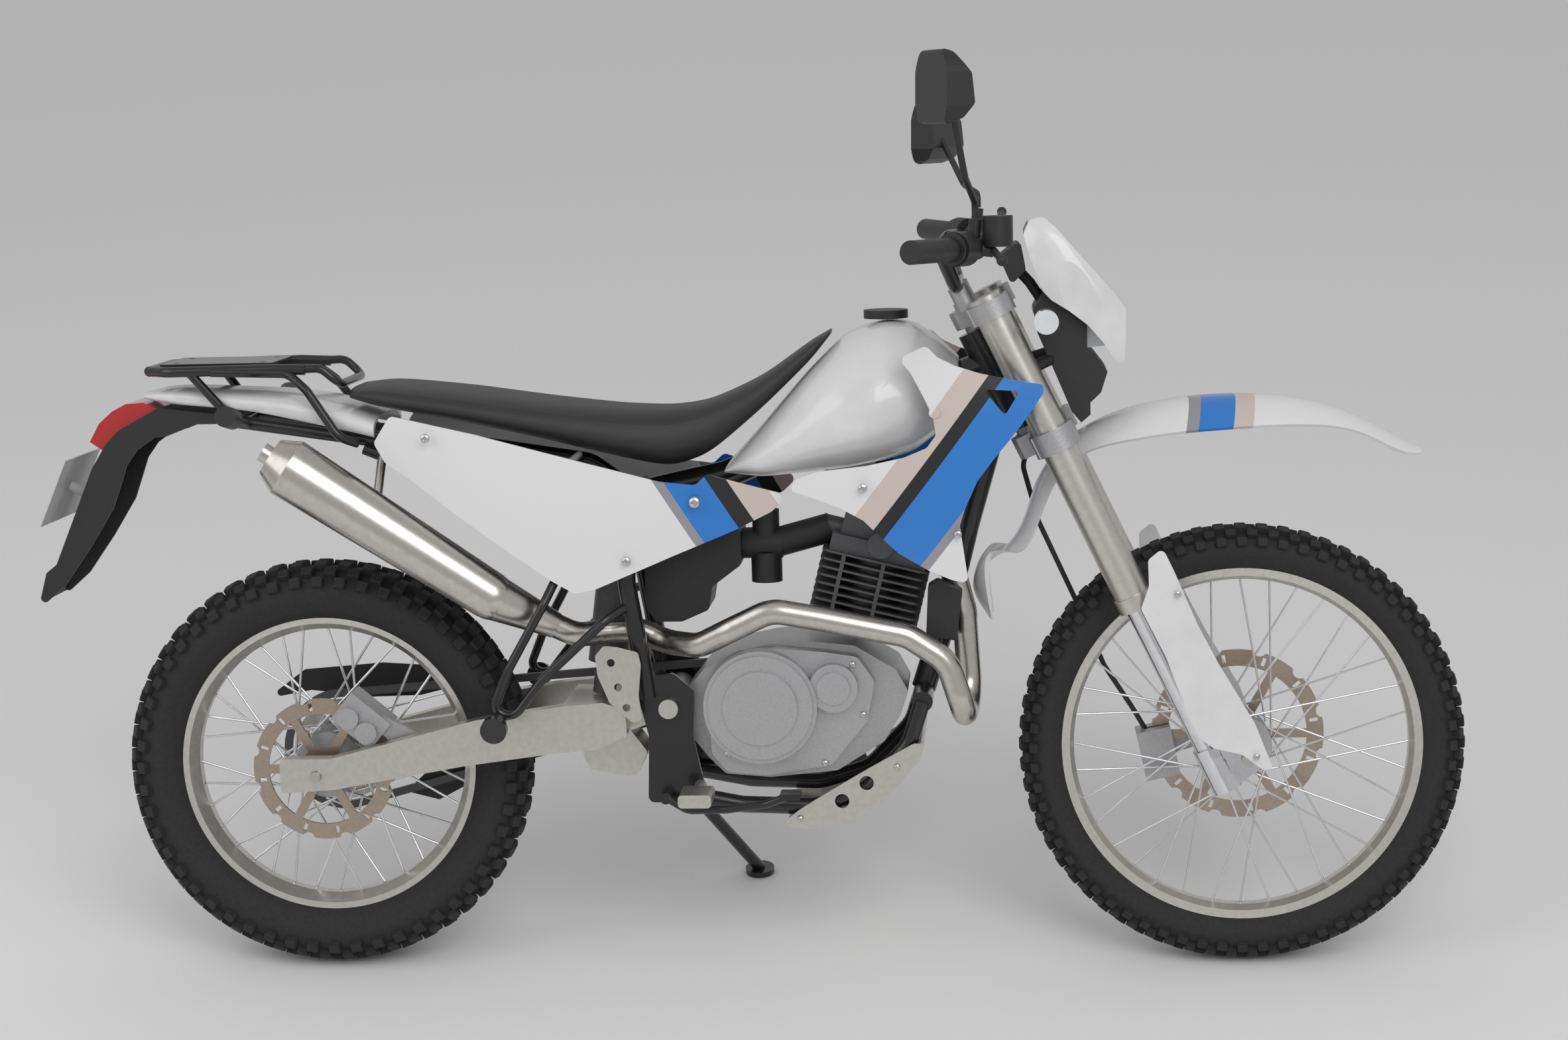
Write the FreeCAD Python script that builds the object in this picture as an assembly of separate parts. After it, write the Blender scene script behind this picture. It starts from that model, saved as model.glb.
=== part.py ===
"""A 250 cc dual-purpose dirt bike, parked on its side stand with a full lean to the left.

Lengths are millimetres. The bike is drawn upright in its own frame, X forward, Y left, Z up, with the
rear axle over the origin and the tyres' lowest points at Z 0. finish_row() then leans the whole bike and
puts the origin at the bottom centre of its box. Steered pieces are drawn in the steering frame: z up along
the steering axis, x forward, with the front axle at (axle_offset, 0, 0), and steered() places them.
"""

import FreeCAD, Part
import math
import os

V = FreeCAD.Vector

# ---- driving dimensions -------------------------------------------------------------------------
wheelbase = 1428.0
lean = 12.0                       # degrees to the left, on the side stand
rake = 25.5                       # degrees, steering axis from vertical
fork_spacing = 210.0              # between the two legs' centre lines
clamp_offset = 38.0               # legs ahead of the steering axis
axle_lead = 45.0                  # front axle ahead of the legs
running_fit = 0.05                # radial, between an axle and its hub
seat_gap = 0.3                    # between a piece and what it sits on
wall = 4.0                        # moulded plastic

front_tyre_r = 342.0
front_tyre_w = 84.0
front_rim_r = 280.5
front_rim_w = 50.0
rear_tyre_r = 323.0
rear_tyre_w = 116.0
rear_rim_r = 242.5
rear_rim_w = 66.0

axle_r = 8.5
axle_offset = clamp_offset + axle_lead
leg_y = fork_spacing / 2
outer_tube_r = 27.0
inner_tube_r = 20.0
outer_tube_low = 278.0
outer_tube_high = 800.0
lug_inner_y = 87.0
lug_outer_y = 123.0
guard_y = 148.0
lower_clamp_z = 545.0
upper_clamp_z = 765.0
clamp_height = 34.0
stem_r = 14.0
head_tube_r = 28.0
head_tube_low = 590.0
head_tube_high = 755.0

bar_r = 11.0
bar_half_width = 400.0
grip_length = 128.0
grip_r = 17.0

pivot_x, pivot_z = 552.0, 424.0   # swingarm pivot
arm_inner_y, arm_outer_y = 92.0, 118.0
plate_y = 96.0                    # inside face of the frame's pivot plates
plate_t = 8.0
pivot_bolt_r = 9.0

crank_half = 70.0                 # half width of the crankcase
cylinder_tilt = 14.0              # degrees forward
barrel_base = V(838, 0, 505)
fin_count = 9
fin_pitch = 12.5
fin_t = 3.2
header_r = 19.0
chain_y = 79.0
chain_w = 10.0
rear_sprocket_r = 86.0
front_sprocket_r = 26.0
front_sprocket_x, front_sprocket_z = 622.0, 430.0

stand_pivot = V(535, 126, 262)
stand_foot_x = 650.0
stand_foot_y = 285.0
stand_fold = 112.0                # degrees from parked to folded
stand_folded_way = V(-0.96, 0.22, 0.17)
stand_tube_r = 10.0
stand_pin_r = 6.0
stand_eye_half = 10.0

rack_top_z = 962.0
rack_hole_r = 4.5
PARTS = {}


# ---- shapes -------------------------------------------------------------------------------------
def steering_point(x, y, z):
    """A point of the steering frame, in the bike's frame."""
    a = math.radians(rake)
    sx = wheelbase - axle_offset * math.cos(a)
    sz = front_tyre_r - axle_offset * math.sin(a)
    return V(sx + x * math.cos(a) - z * math.sin(a), y, sz + x * math.sin(a) + z * math.cos(a))


def steered(shape):
    """Places a shape of the steering frame on the bike."""
    turn = FreeCAD.Rotation(V(0, 1, 0), -rake)
    placed = shape.copy()
    placed.Placement = FreeCAD.Placement(steering_point(0, 0, 0), turn).multiply(placed.Placement)
    return placed


def rod(start, end, radius):
    way = end - start
    return Part.makeCylinder(radius, way.Length, start, way)


def hollow_rod(start, end, radius, bore):
    way = end - start
    over = V(way).normalize()
    return rod(start, end, radius).cut(rod(start - over, end + over, bore))


def cross_rod(x, z, half, radius):
    return rod(V(x, -half, z), V(x, half, z), radius)


def disc_y(x, z, y0, y1, radius):
    return rod(V(x, y0, z), V(x, y1, z), radius)


def tube(points, radius, bend=None):
    """A round tube along straight runs joined by tangent arcs."""
    bend = bend or 3 * radius
    edges = []
    last = points[0]
    for before, corner, after in zip(points, points[1:], points[2:]):
        a, b = (before - corner), (after - corner)
        room = min(a.Length, b.Length) * 0.48
        a.normalize()
        b.normalize()
        half = math.acos(max(-1.0, min(1.0, a.dot(b)))) / 2
        reach = min(bend / math.tan(half), room)
        radius_here = reach * math.tan(half)
        start, end = corner + a * reach, corner + b * reach
        middle_way = (a + b).normalize()
        middle = corner + middle_way * (radius_here / math.sin(half) - radius_here)
        if (start - last).Length > 1e-6:
            edges.append(Part.LineSegment(last, start).toShape())
        edges.append(Part.Arc(start, middle, end).toShape())
        last = end
    edges.append(Part.LineSegment(last, points[-1]).toShape())
    path = Part.Wire(edges)
    way = points[1] - points[0]
    ring = Part.Wire(Part.makeCircle(radius, points[0], way))
    return path.makePipeShell([ring], True, False)


def outline(points, radius=0.0):
    """A closed wire in the XZ plane, its corners rounded to radius where their sides allow."""
    pts = [V(x, 0, z) for x, z in points]
    if radius <= 0:
        return Part.makePolygon(pts + [pts[0]])
    edges = []
    n = len(pts)
    ends = []
    for i in range(n):
        corner, before, after = pts[i], pts[i - 1], pts[(i + 1) % n]
        a, b = before - corner, after - corner
        room = min(a.Length, b.Length) * 0.45
        a.normalize()
        b.normalize()
        cosine = max(-1.0, min(1.0, a.dot(b)))
        half = math.acos(cosine) / 2
        if half > math.radians(87):
            ends.append((corner, None, corner))
            continue
        reach = min(radius / math.tan(half), room)
        r = reach * math.tan(half)
        middle = corner + (a + b).normalize() * (r / math.sin(half) - r)
        ends.append((corner + a * reach, middle, corner + b * reach))
    for i in range(n):
        start, middle, end = ends[i]
        if middle is not None:
            edges.append(Part.Arc(start, middle, end).toShape())
        after = ends[(i + 1) % n][0]
        if (after - end).Length > 1e-6:
            edges.append(Part.LineSegment(end, after).toShape())
    return Part.Wire(edges)


def slab(points, y0, y1, radius=0.0):
    """A plate with an XZ outline, from y0 to y1."""
    face = Part.Face(outline(points, radius))
    face.translate(V(0, y0, 0))
    return face.extrude(V(0, y1 - y0, 0))


def both_sides(shape):
    return [shape, shape.mirror(V(0, 0, 0), V(0, 1, 0))]


def bulged(points, y_out, centre, bulge_r, thickness, radius=12.0):
    """A moulded panel: an XZ outline cut from a thin dome whose top lies at y_out on the right side."""
    block = slab(points, y_out - 5, y_out + 60, radius)
    middle = V(centre[0], y_out + bulge_r, centre[1])
    dome = Part.makeSphere(bulge_r, middle).cut(Part.makeSphere(bulge_r - thickness, middle))
    return block.common(dome)


def section(x, low, high, half_width, squareness=3.0, crown=0.0):
    """A closed rounded section across the bike at x. crown narrows the top by that share."""
    points = []
    count = 20
    for i in range(count):
        t = 2 * math.pi * (i + 0.5) / count
        c, s = math.cos(t), math.sin(t)
        power = 2.0 / squareness
        up = math.copysign(abs(s) ** power, s)
        side = math.copysign(abs(c) ** power, c)
        width = half_width * (1 - crown * (up + 1) / 2)
        points.append(V(x, width * side, (low + high) / 2 + (high - low) / 2 * up))
    curve = Part.BSplineCurve()
    curve.interpolate(points, PeriodicFlag=True)
    return Part.Wire(curve.toShape())


def loft(sections):
    return Part.makeLoft(sections, True, False)


def ring(profile):
    """A solid of revolution about Y from (radius, y) points."""
    wire = Part.makePolygon([V(r, y, 0) for r, y in profile + [profile[0]]])
    return Part.Face(wire).revolve(V(0, 0, 0), V(0, 1, 0), 360)


def joined(*shapes):
    whole = shapes[0]
    for other in shapes[1:]:
        whole = whole.fuse(other)
    return whole.removeSplitter()


def keep(name, *shapes):
    """Files one node's solids."""
    solids = [s.copy() for shape in shapes for s in shape.Solids]
    for s in solids:
        if s.Volume < 0:
            s.reverse()
    PARTS[name] = PARTS.get(name, []) + solids


# ---- wheels -------------------------------------------------------------------------------------
def tyre(outer_r, width, rim_r, rim_w):
    """A hollow carcass whose crown is the tops of the tread blocks."""
    seat_r = rim_r - 13
    bead = rim_w / 2 - 7
    widest = rim_r + 0.48 * (outer_r - rim_r)
    shoulder = width * 0.43
    crown_drop = outer_r - shoulder * 0.36
    half = [
        V(seat_r, -bead, 0),
        V(rim_r + 2, -bead, 0),
        V(widest, -width / 2, 0),
        V(crown_drop, -shoulder, 0),
        V(outer_r, 0, 0),
    ]
    mirrored = [V(p.x, -p.y, 0) for p in half]
    inner_r = outer_r - 22
    edges = [
        Part.LineSegment(half[0], half[1]).toShape(),
        Part.Arc(half[1], half[2] * 0.5 + half[1] * 0.5 + V(0, -width * 0.07, 0), half[2]).toShape(),
        Part.LineSegment(half[2], half[3]).toShape(),
        Part.Arc(half[3], half[4], mirrored[3]).toShape(),
        Part.LineSegment(mirrored[3], mirrored[2]).toShape(),
        Part.Arc(mirrored[2], mirrored[2] * 0.5 + mirrored[1] * 0.5 + V(0, width * 0.07, 0), mirrored[1]).toShape(),
        Part.LineSegment(mirrored[1], mirrored[0]).toShape(),
        Part.LineSegment(mirrored[0], V(seat_r, bead - 7, 0)).toShape(),
        Part.LineSegment(V(seat_r, bead - 7, 0), V(rim_r + 2, bead - 7, 0)).toShape(),
        Part.Arc(V(rim_r + 2, bead - 7, 0), V(inner_r, 0, 0), V(rim_r + 2, 7 - bead, 0)).toShape(),
        Part.LineSegment(V(rim_r + 2, 7 - bead, 0), V(seat_r, 7 - bead, 0)).toShape(),
        Part.LineSegment(V(seat_r, 7 - bead, 0), half[0]).toShape(),
    ]
    return Part.Face(Part.Wire(edges)).revolve(V(0, 0, 0), V(0, 1, 0), 360)


def rim(rim_r, rim_w, depth):
    """A box-section rim with its two flanges."""
    seat_r = rim_r - 13 - seat_gap
    half = rim_w / 2
    side = [(rim_r - depth, -9), (seat_r - 4, 3 - half), (rim_r, -half), (rim_r, 3 - half), (seat_r, 6 - half)]
    return ring(side + [(r, -y) for r, y in reversed(side)])


def hub(half_length, flange_r, flange_y, barrel_r, disc_side, disc_y):
    """A spool hub with two spoke flanges, its spacers and a seat for the brake disc."""
    bore = axle_r + running_fit
    body = disc_y_ring(-half_length, half_length, 15, bore)
    body = body.fuse(disc_y_ring(-flange_y - 10, flange_y + 10, barrel_r, bore))
    for side in (-1, 1):
        body = body.fuse(disc_y_ring(side * flange_y - 5, side * flange_y + 5, flange_r, bore))
    a, b = sorted((disc_side * (flange_y + 5), disc_side * (disc_y - 2)))
    return body.fuse(disc_y_ring(a, b, 34, bore)).removeSplitter()


def disc_y_ring(y0, y1, radius, bore):
    return disc_y(0, 0, y0, y1, radius).cut(disc_y(0, 0, y0 - 1, y1 + 1, bore))


def spokes(flange_r, flange_y, rim_inner, spoke_r, count=36, lace=58.0):
    """Straight spokes laced from both flanges to the rim, leading and trailing ones apart at the hub."""
    found = []
    for j in range(count):
        angle = math.radians(360.0 / count * j)
        side = 1 if j % 2 else -1
        way = 1 if (j // 2) % 2 else -1
        at_hub = angle + way * math.radians(lace)
        start_r = flange_r + 1.4 * spoke_r
        start = V(start_r * math.cos(at_hub), side * (flange_y + way * 4), start_r * math.sin(at_hub))
        end_r = rim_inner - 0.6
        end = V(end_r * math.cos(angle), side * 3.5, end_r * math.sin(angle))
        found.append(rod(start, end, spoke_r))
    return found


def brake_disc(outer_r, band, bolt_r, lobes, y, thickness=4.0):
    """A scalloped disc: a slotted band on a spider whose ring is bolted to the hub."""
    y0, y1 = y - thickness / 2, y + thickness / 2
    inner_r = outer_r - band
    flat = disc_y(0, 0, y0, y1, outer_r).cut(disc_y(0, 0, y0 - 1, y1 + 1, inner_r))
    centre = disc_y(0, 0, y0, y1, bolt_r + 8).cut(disc_y(0, 0, y0 - 1, y1 + 1, 15 + seat_gap))
    arms = 6
    for k in range(arms):
        arm = Part.makeBox(inner_r - bolt_r + 8, thickness, 14, V(bolt_r, y0, -7))
        arm.rotate(V(0, 0, 0), V(0, 1, 0), 360.0 / arms * k)
        centre = centre.fuse(arm)
    whole = flat.fuse(centre)
    cuts = []
    for k in range(lobes):
        angle = 2 * math.pi * (k + 0.5) / lobes
        bite_r = outer_r * 0.085
        at = outer_r + bite_r * 0.35
        cuts.append(disc_y(at * math.cos(angle), at * math.sin(angle), y0 - 1, y1 + 1, bite_r))
        slot = Part.makeBox(band * 0.5, thickness + 2, 6, V(inner_r + band * 0.22, y0 - 1, -3))
        slot.rotate(V(0, 0, 0), V(0, 1, 0), 360.0 / lobes * k + 20)
        cuts.append(slot)
    return whole.cut(Part.makeCompound(cuts)).removeSplitter()


def wheel(name, centre, outer_r, width, rim_r, rim_w, rim_depth, hub_half, flange_r, flange_y, barrel_r,
          spoke_r, disc_r, disc_band, disc_side, disc_y_abs):
    at = V(centre[0], 0, centre[1])
    pieces = {
        "tyre": [tyre(outer_r, width, rim_r, rim_w)],
        "rim": [rim(rim_r, rim_w, rim_depth)],
        "hub": [hub(hub_half, flange_r, flange_y, barrel_r, disc_side, disc_y_abs)],
        "spokes": spokes(flange_r, flange_y, rim_r - rim_depth, spoke_r),
        "brake_disc": [brake_disc(disc_r, disc_band, 28, 12, disc_side * disc_y_abs)],
    }
    for piece, shapes in pieces.items():
        for s in shapes:
            s.translate(at)
        keep(name + "_" + piece, *shapes)


wheel("front", (wheelbase, front_tyre_r), front_tyre_r, front_tyre_w, front_rim_r, front_rim_w, 24.0,
      80.0, 46.0, 30.0, 26.0, 1.7, 134.0, 26.0, 1, 58.0)
wheel("rear", (0, rear_tyre_r), rear_tyre_r, rear_tyre_w, rear_rim_r, rear_rim_w, 29.0,
      86.0, 52.0, 32.0, 34.0, 2.0, 112.0, 24.0, -1, 62.0)


def sprocket():
    """The driven sprocket, its teeth inside the chain's loop."""
    y0, y1 = chain_y - 4, chain_y + 4
    plate = disc_y(0, 0, y0, y1, rear_sprocket_r - 5)
    for k in range(6):
        angle = math.radians(60 * k + 30)
        plate = plate.cut(disc_y(52 * math.cos(angle), 52 * math.sin(angle), y0 - 1, y1 + 1, 13))
    seat = disc_y(0, 0, 42 + seat_gap, y1, 30)
    plate = plate.fuse(seat).cut(disc_y(0, 0, 0, 200, 15 + seat_gap))
    plate.translate(V(0, 0, rear_tyre_r))
    return plate.removeSplitter()


keep("rear_sprocket", sprocket())


def chain_loop():
    """The chain as one loop round both sprockets."""
    a, b = V(0, 0, rear_tyre_r), V(front_sprocket_x, 0, front_sprocket_z)
    way = b - a
    across = V(-way.z, 0, way.x).normalize()

    def belt(extra):
        ra, rb = rear_sprocket_r + extra, front_sprocket_r + extra
        p = [a + across * ra, b + across * rb, b + V(way).normalize() * rb, b - across * rb,
             a - across * ra, a - V(way).normalize() * ra]
        wire = Part.Wire([
            Part.LineSegment(p[0], p[1]).toShape(),
            Part.Arc(p[1], p[2], p[3]).toShape(),
            Part.LineSegment(p[3], p[4]).toShape(),
            Part.Arc(p[4], p[5], p[0]).toShape(),
        ])
        face = Part.Face(wire)
        face.translate(V(0, chain_y - chain_w / 2, 0))
        return face.extrude(V(0, chain_w, 0))

    return belt(12).cut(belt(0))


keep("chain", chain_loop(), joined(
    disc_y(front_sprocket_x, front_sprocket_z, chain_y - 4, chain_y + 4, front_sprocket_r - seat_gap),
    disc_y(front_sprocket_x, front_sprocket_z, crank_half + seat_gap, chain_y, 12)))


# ---- front fork and what it carries --------------------------------------------------------------
def fork_slider(side, grow=0.0):
    """One chromed inner tube with the axle lug and the boss that carries the guard."""
    y = side * leg_y
    stanchion = rod(V(clamp_offset, y, -14), V(clamp_offset, y, 420), inner_tube_r + grow)
    foot = rod(V(clamp_offset, y, -32 - grow), V(clamp_offset, y, 40 + grow), inner_tube_r + 4 + grow)
    y0, y1 = sorted((side * (lug_inner_y - grow), side * (lug_outer_y + grow)))
    lug = slab([(clamp_offset - 14, -30), (clamp_offset, -34), (axle_offset + 16, -20), (axle_offset + 24, 0),
                (axle_offset + 14, 20), (clamp_offset + 18, 46), (clamp_offset - 14, 46)], y0, y1, 10)
    bore = disc_y(axle_offset, 0, -200, 200, axle_r + seat_gap)
    b0, b1 = sorted((side * lug_outer_y, side * (guard_y - wall - seat_gap)))
    boss = disc_y(clamp_offset + 6, 34, b0, b1, 8)
    return steered(joined(stanchion, foot, lug, boss).cut(bore))


def fork_outer(side):
    y = side * leg_y
    low, high = V(clamp_offset, y, outer_tube_low), V(clamp_offset, y, outer_tube_high)
    barrel = rod(low, high, outer_tube_r)
    collar = rod(low, low + V(0, 0, 22), outer_tube_r + 2.5)
    bore = rod(low - V(0, 0, 1), V(clamp_offset, y, 430), inner_tube_r + seat_gap)
    return steered(barrel.fuse(collar).cut(bore))


def clamp_plate(z, height, front):
    """A triple clamp: a bridge with a boss for each leg and one for the stem."""
    bridge = slab([(-18, z), (clamp_offset + front, z), (clamp_offset + front, z + height), (-18, z + height)],
                  -leg_y - 20, leg_y + 20)
    trimmed = bridge.cut(Part.makeBox(60, 120, height + 2, V(clamp_offset - 92, 30, z - 1)))
    trimmed = trimmed.cut(Part.makeBox(60, 120, height + 2, V(clamp_offset - 92, -150, z - 1)))
    for side in (-1, 1):
        eye = rod(V(clamp_offset, side * leg_y, z), V(clamp_offset, side * leg_y, z + height), outer_tube_r + 9)
        trimmed = trimmed.fuse(eye)
    boss = rod(V(0, 0, z), V(0, 0, z + height), 26)
    whole = trimmed.fuse(boss)
    for side in (-1, 1):
        hole = rod(V(clamp_offset, side * leg_y, z - 1), V(clamp_offset, side * leg_y, z + height + 1),
                   outer_tube_r + seat_gap)
        whole = whole.cut(hole)
    return whole


lower_clamp_box = steered(slab([(-30, lower_clamp_z), (70, lower_clamp_z), (70, lower_clamp_z + clamp_height),
                                (-30, lower_clamp_z + clamp_height)], -150, 150))


def triple_clamps():
    lower = clamp_plate(lower_clamp_z, clamp_height, 26)
    upper = clamp_plate(upper_clamp_z, clamp_height - 6, 20)
    stem = rod(V(0, 0, lower_clamp_z), V(0, 0, upper_clamp_z + clamp_height + 4), stem_r)
    posts = []
    for side in (-1, 1):
        post = rod(V(6, side * 52, upper_clamp_z + clamp_height - 8), V(6, side * 52, bar_clamp_z + 8), 15)
        posts.append(post)
    return steered(joined(lower, upper, stem, *posts))


bar_clamp_z = upper_clamp_z + clamp_height + 22
keep("fork_sliders", fork_slider(-1), fork_slider(1))
keep("fork_tubes", fork_outer(-1), fork_outer(1))


def handlebar_points(side):
    centre = steering_point(6, 0, bar_clamp_z + 10)
    return [
        V(centre.x, 0, centre.z),
        V(centre.x, side * 88, centre.z),
        V(centre.x - 22, side * 175, centre.z + 62),
        V(1012, side * 262, 1123),
        V(946, side * bar_half_width, 1126),
    ]


def handlebar():
    halves = [tube(handlebar_points(side), bar_r, 60) for side in (-1, 1)]
    return joined(*halves)


bar_cut = rod(V(steering_point(6, 0, bar_clamp_z + 10).x, -200, steering_point(6, 0, bar_clamp_z + 10).z),
              V(steering_point(6, 0, bar_clamp_z + 10).x, 200, steering_point(6, 0, bar_clamp_z + 10).z),
              bar_r + seat_gap)
keep("triple_clamps", triple_clamps().cut(bar_cut))
keep("handlebar", handlebar())
keep("front_axle", steered(disc_y(axle_offset, 0, -lug_outer_y - 7, lug_outer_y + 7, axle_r)))


def grip(side):
    start, end = handlebar_points(side)[3], handlebar_points(side)[4]
    way = V(end - start).normalize()
    outer_end = end + way * 3
    begin = outer_end - way * grip_length
    body = rod(begin, outer_end, grip_r)
    flange = rod(begin, begin + way * 5, grip_r + 6)
    bore = rod(begin - way, end + way * seat_gap, bar_r + seat_gap)
    return body.fuse(flange).cut(bore).removeSplitter()


keep("hand_grips", grip(-1), grip(1))


def hand_control(side, lever_rise):
    """A switch housing on the bar with the lever, its perch and, on the right, the brake reservoir."""
    start, end = handlebar_points(side)[3], handlebar_points(side)[4]
    way = V(end - start).normalize()
    inner = end - way * (grip_length + 2)
    housing = rod(inner - way * 38, inner, 25)
    perch_at = inner - way * 62
    perch = rod(perch_at - way * 11, perch_at + way * 11, 17)
    pivot = perch_at + V(30, 0, -4)
    arm = rod(perch_at, pivot, 10)
    tip = V(pivot.x + 12, side * (bar_half_width - 6), pivot.z + lever_rise)
    lever = rod(pivot, tip, 5.5)
    knob = Part.makeSphere(8, tip)
    pieces = [perch, arm, lever, knob]
    link = rod(perch_at, inner - way * 20 + V(20, 0, 0), 6)
    pieces.append(link)
    if side < 0:
        bottle = rod(perch_at + V(36, 0, 2), perch_at + V(36, 0, 46), 22)
        pieces.append(bottle)
    mirror_boss = rod(perch_at, perch_at + V(4, 0, 42), 9)
    whole = joined(housing, *pieces, mirror_boss)
    return whole.cut(tube(handlebar_points(side), bar_r + seat_gap, 60))


keep("hand_controls", hand_control(-1, -6), hand_control(1, 34))


def mirror(side, elbow, head, yaw):
    """A stem and a shallow shell whose glass faces back and inwards."""
    start, end = handlebar_points(side)[3], handlebar_points(side)[4]
    way = V(end - start).normalize()
    perch_at = end - way * (grip_length + 2) - way * 62
    base = perch_at + V(4, 0, 43 + seat_gap)
    stem = tube([base, base + V(0, 0, 22), elbow, head], 5)
    shell = slab([(-16, -52), (12, -40), (26, -20), (22, 20), (2, 50), (-14, 56)], -62, 62, 8)
    shell = shell.common(Part.makeCylinder(66, 200, V(-100, 0, 0), V(1, 0, 0)).fuse(
        Part.makeBox(200, 100, 90, V(-100, -50, -45))))
    shell.rotate(V(0, 0, 0), V(0, 0, 1), yaw)
    shell.translate(head + V(-10, side * 26, 4))
    return joined(stem, shell)


keep("mirrors",
     mirror(-1, V(1020, -300, 1225), V(1000, -352, 1345), 22),
     mirror(1, V(1010, 320, 1200), V(972, 358, 1278), -22))


def fork_guard():
    """The moulded guard in front of and beside an inner tube."""
    points = [(1303, 668), (1320, 632), (1354, 552), (1384, 494), (1438, 402), (1466, 330), (1450, 330),
              (1419, 354), (1377, 364), (1356, 380), (1342, 408), (1306, 505), (1270, 577), (1282, 611), (1281, 650)]
    return bulged(points, -guard_y, (1360, 490), 2500, wall, 8)


keep("fork_guards", *both_sides(fork_guard()))


def fender_section(x, z, tilt, half_width, drop):
    """A shallow upturned channel across the bike, leaning with the fender's line."""
    points = []
    count = 9
    for i in range(count):
        u = -1 + 2.0 * i / (count - 1)
        points.append(V(0, half_width * u, -drop * abs(u) ** 2.5))
    inner = [V(0, p.y * (1 - wall / half_width), p.z - wall) for p in points]
    top, bottom = Part.BSplineCurve(), Part.BSplineCurve()
    top.interpolate(points)
    bottom.interpolate(list(reversed(inner)))
    wire = Part.Wire([
        top.toShape(),
        Part.LineSegment(points[-1], inner[-1]).toShape(),
        bottom.toShape(),
        Part.LineSegment(inner[0], points[0]).toShape(),
    ])
    wire.rotate(V(0, 0, 0), V(0, 1, 0), tilt)
    wire.translate(V(x, 0, z))
    return wire


def front_fender():
    stations = [(1040, 548, -68, 40, 8), (1072, 655, -68, 46, 14), (1118, 752, -58, 52, 20),
                (1172, 822, -42, 60, 26), (1240, 858, -18, 68, 38), (1340, 879, -5, 74, 44),
                (1440, 883, 2, 74, 42), (1530, 873, 10, 68, 32), (1620, 840, 22, 56, 18), (1700, 797, 28, 30, 5)]
    return loft([fender_section(*s) for s in stations])


keep("front_fender", front_fender())


def cowl():
    """The white headlight mask, a bent shell open at the back."""
    outer = [(1112, 1156), (1133, 1160), (1152, 1142), (1190, 1098), (1236, 1046), (1254, 1020), (1253, 975),
             (1250, 938), (1240, 941), (1219, 972), (1197, 998), (1169, 1020), (1143, 1036), (1130, 1050),
             (1112, 1100), (1102, 1134)]
    inner = [(1104, 1150), (1128, 1152), (1146, 1136), (1184, 1092), (1230, 1040), (1248, 1016), (1247, 975),
             (1244, 930), (1160, 930), (1060, 1040), (1080, 1140)]
    shell = slab(outer, -96, 96, 14)
    dome = loft([section(1095, 1030, 1170, 74, 3.2), section(1140, 985, 1172, 92, 3.2),
                 section(1200, 930, 1120, 98, 3.2), section(1262, 915, 1050, 84, 3.2)])
    hollow = loft([section(1085, 1020, 1166, 70, 3.2), section(1140, 978, 1168, 88, 3.2),
                   section(1200, 926, 1116, 94, 3.2), section(1258, 911, 1046, 80, 3.2)])
    window = slab([(1200, 960), (1300, 960), (1300, 1028), (1200, 1028)], -62, 62, 10)
    hollow = hollow.common(slab(inner, -95, 95))
    return shell.common(dome).cut(hollow).cut(window), hollow


def headlight():
    """The black lamp housing behind the mask and below it."""
    block = slab(headlight_points, -72, 72, 0)
    ears = [rod(V(1152, side * 56, 950), V(1098, side * 105, 930), 9) for side in (-1, 1)]
    pins = cross_rod(1158, 1040, 110, 8).common(mask_hollow)
    whole = joined(block, pins, *ears)
    for side in (-1, 1):
        low, high = V(clamp_offset, side * leg_y, 600), V(clamp_offset, side * leg_y, 760)
        whole = whole.cut(steered(rod(low, high, outer_tube_r + seat_gap)))
    return whole.Solids[0] if len(whole.Solids) == 1 else max(whole.Solids, key=lambda s: s.Volume)


def headlight_lens():
    return slab([(1196 + seat_gap, 962), (1238, 966), (1240, 1022), (1222, 1026), (1196 + seat_gap, 1026)],
                -60, 60, 0)


headlight_points = [(1116, 1020), (1138, 1058), (1196, 1034), (1196, 962), (1208, 950), (1226, 926),
                    (1216, 895), (1200, 880), (1200, 862), (1186, 850), (1172, 867), (1150, 920), (1122, 986)]
mask, mask_hollow = cowl()
keep("headlight_cowl", mask)
keep("headlight_housing", headlight())
keep("headlight_lens", headlight_lens())


def instrument_panel():
    face = slab([(1066, 1100), (1092, 1122), (1100, 1112), (1106, 1080), (1084, 1058)], -58, 58, 6)
    stay = tube([V(1092, 0, 1080), V(1112, 0, 1058), V(1130, 0, 1030)], 8, 20)
    return joined(face, stay).cut(slab(headlight_points, -72, 72, 0))


keep("instrument_panel", instrument_panel())


def front_indicator():
    """A round lamp on a short stalk through the gap between the mask and the fork."""
    stalk = disc_y(1134, 1010, -146, -72 - seat_gap, 7)
    lamp = rod(V(1134, -182, 1010), V(1134, -146, 1010), 18)
    return joined(stalk, lamp)


keep("front_indicators", *both_sides(front_indicator()))



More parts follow.
